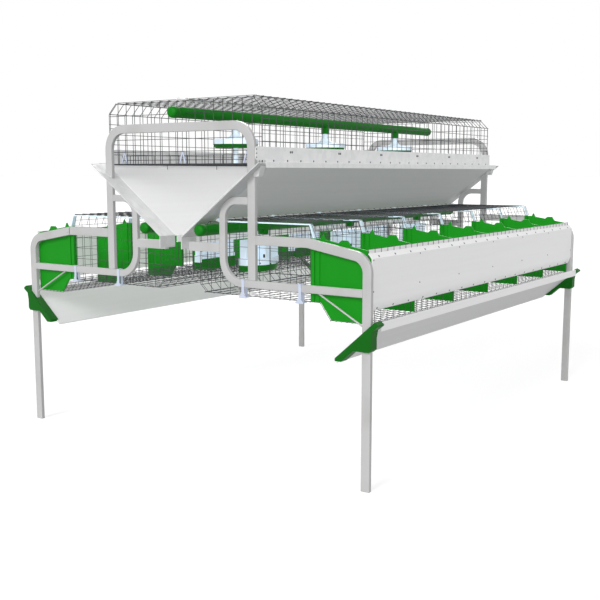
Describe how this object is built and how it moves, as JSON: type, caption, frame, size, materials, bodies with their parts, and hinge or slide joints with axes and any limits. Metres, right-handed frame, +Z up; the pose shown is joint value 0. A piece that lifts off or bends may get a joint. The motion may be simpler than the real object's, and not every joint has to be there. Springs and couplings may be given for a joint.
{
  "type": "rabbit breeding cage",
  "caption": "Free-standing two-tier rabbit breeding cage of wire nets on bent-tube end frames, with nests, feed lines, a dung hopper between the tiers and hinged lids.",
  "frame": {"origin": "on the ground under the middle of the cage", "axes": "+Z up, Y along the rows with the pictured end frame at -Y, X across the rows"},
  "size_m": [2.126, 2.568, 1.627],
  "materials": {
    "frame_tube": "light grey coated steel tube",
    "grey_board": "smooth light grey board",
    "sheet_steel": "galvanised sheet",
    "green_plastic": "moulded plastic",
    "dark_green_plastic": "moulded plastic",
    "pale_blue_plastic": "moulded plastic",
    "pale_blue_steel": "pale coated flat bar",
    "net_wire": "galvanised welded wire"
  },
  "bodies": {
    "cage": {"corner_brackets": "dark_green_plastic", "deflector_boards": "grey_board", "dividers": "net_wire", "doe_floor_left": "net_wire", "doe_floor_right": "net_wire", "feed_pipe_left": "dark_green_plastic", "feed_pipe_right": "dark_green_plastic", "feeder_chutes": "pale_blue_plastic", "feeder_cones": "pale_blue_plastic", "feeder_dividers": "net_wire", "feeder_pans": "dark_green_plastic", "feeder_troughs": "dark_green_plastic", "floor_hangers": "pale_blue_steel", "front_frame": "frame_tube", "hinge_rods": "net_wire", "hoops": "pale_blue_steel", "hopper_board_left": "grey_board", "hopper_board_right": "grey_board", "hopper_clips": "sheet_steel", "hopper_saddles": "sheet_steel", "inner_wall_left": "net_wire", "inner_wall_right": "net_wire", "kick_strips": "sheet_steel", "nest_floor_left": "net_wire", "nest_floor_right": "net_wire", "nest_net_left": "net_wire", "nest_net_right": "net_wire", "outer_panel_left": "grey_board", "outer_panel_right": "grey_board", "pan_rims": "pale_blue_plastic", "pan_stands": "pale_blue_plastic", "partitions": "green_plastic", "rear_frame": "frame_tube", "roof_ridge": "net_wire", "skirt_left": "net_wire", "skirt_right": "net_wire", "upper_bevel_left": "net_wire", "upper_bevel_right": "net_wire", "upper_end_front": "net_wire", "upper_end_rear": "net_wire", "upper_feed_pipe": "dark_green_plastic", "upper_floor": "net_wire", "upper_side_left": "net_wire", "upper_side_right": "net_wire"},
    "doe_lid_left_1": {"doe_lid_left_1": "net_wire"},
    "doe_lid_left_2": {"doe_lid_left_2": "net_wire"},
    "doe_lid_left_3": {"doe_lid_left_3": "net_wire"},
    "doe_lid_left_4": {"doe_lid_left_4": "net_wire"},
    "doe_lid_left_5": {"doe_lid_left_5": "net_wire"},
    "doe_lid_left_6": {"doe_lid_left_6": "net_wire"},
    "doe_lid_right_1": {"doe_lid_right_1": "net_wire"},
    "doe_lid_right_2": {"doe_lid_right_2": "net_wire"},
    "doe_lid_right_3": {"doe_lid_right_3": "net_wire"},
    "doe_lid_right_4": {"doe_lid_right_4": "net_wire"},
    "doe_lid_right_5": {"doe_lid_right_5": "net_wire"},
    "doe_lid_right_6": {"doe_lid_right_6": "net_wire"},
    "upper_lid_left_1": {"upper_lid_left_1": "net_wire"},
    "upper_lid_left_2": {"upper_lid_left_2": "net_wire"},
    "upper_lid_right_1": {"upper_lid_right_1": "net_wire"},
    "upper_lid_right_2": {"upper_lid_right_2": "net_wire"}
  },
  "joints": [
    {"name": "doe_lid_left_1_hinge", "type": "hinge", "parent": "cage", "child": "doe_lid_left_1", "pos_m": [-0.22207, -1, 1.0853], "axis": [0, 1, 0], "range_deg": [0, 38]},
    {"name": "doe_lid_left_2_hinge", "type": "hinge", "parent": "cage", "child": "doe_lid_left_2", "pos_m": [-0.22207, -0.6, 1.0853], "axis": [0, 1, 0], "range_deg": [0, 38]},
    {"name": "doe_lid_left_3_hinge", "type": "hinge", "parent": "cage", "child": "doe_lid_left_3", "pos_m": [-0.22207, -0.2, 1.0853], "axis": [0, 1, 0], "range_deg": [0, 38]},
    {"name": "doe_lid_left_4_hinge", "type": "hinge", "parent": "cage", "child": "doe_lid_left_4", "pos_m": [-0.22207, 0.2, 1.0853], "axis": [0, 1, 0], "range_deg": [0, 38]},
    {"name": "doe_lid_left_5_hinge", "type": "hinge", "parent": "cage", "child": "doe_lid_left_5", "pos_m": [-0.22207, 0.6, 1.0853], "axis": [0, 1, 0], "range_deg": [0, 38]},
    {"name": "doe_lid_left_6_hinge", "type": "hinge", "parent": "cage", "child": "doe_lid_left_6", "pos_m": [-0.22207, 1, 1.0853], "axis": [0, 1, 0], "range_deg": [0, 38]},
    {"name": "doe_lid_right_1_hinge", "type": "hinge", "parent": "cage", "child": "doe_lid_right_1", "pos_m": [0.22207, -1, 1.0853], "axis": [0, -1, 0], "range_deg": [0, 38]},
    {"name": "doe_lid_right_2_hinge", "type": "hinge", "parent": "cage", "child": "doe_lid_right_2", "pos_m": [0.22207, -0.6, 1.0853], "axis": [0, -1, 0], "range_deg": [0, 38]},
    {"name": "doe_lid_right_3_hinge", "type": "hinge", "parent": "cage", "child": "doe_lid_right_3", "pos_m": [0.22207, -0.2, 1.0853], "axis": [0, -1, 0], "range_deg": [0, 38]},
    {"name": "doe_lid_right_4_hinge", "type": "hinge", "parent": "cage", "child": "doe_lid_right_4", "pos_m": [0.22207, 0.2, 1.0853], "axis": [0, -1, 0], "range_deg": [0, 38]},
    {"name": "doe_lid_right_5_hinge", "type": "hinge", "parent": "cage", "child": "doe_lid_right_5", "pos_m": [0.22207, 0.6, 1.0853], "axis": [0, -1, 0], "range_deg": [0, 38]},
    {"name": "doe_lid_right_6_hinge", "type": "hinge", "parent": "cage", "child": "doe_lid_right_6", "pos_m": [0.22207, 1, 1.0853], "axis": [0, -1, 0], "range_deg": [0, 38]},
    {"name": "upper_lid_left_1_hinge", "type": "hinge", "parent": "cage", "child": "upper_lid_left_1", "pos_m": [-0.024, -0.591, 1.61973], "axis": [0, 1, 0], "range_deg": [0, 85]},
    {"name": "upper_lid_left_2_hinge", "type": "hinge", "parent": "cage", "child": "upper_lid_left_2", "pos_m": [-0.024, 0.591, 1.61973], "axis": [0, 1, 0], "range_deg": [0, 85]},
    {"name": "upper_lid_right_1_hinge", "type": "hinge", "parent": "cage", "child": "upper_lid_right_1", "pos_m": [0.024, -0.591, 1.61973], "axis": [0, -1, 0], "range_deg": [0, 85]},
    {"name": "upper_lid_right_2_hinge", "type": "hinge", "parent": "cage", "child": "upper_lid_right_2", "pos_m": [0.024, 0.591, 1.61973], "axis": [0, -1, 0], "range_deg": [0, 85]}
  ]
}
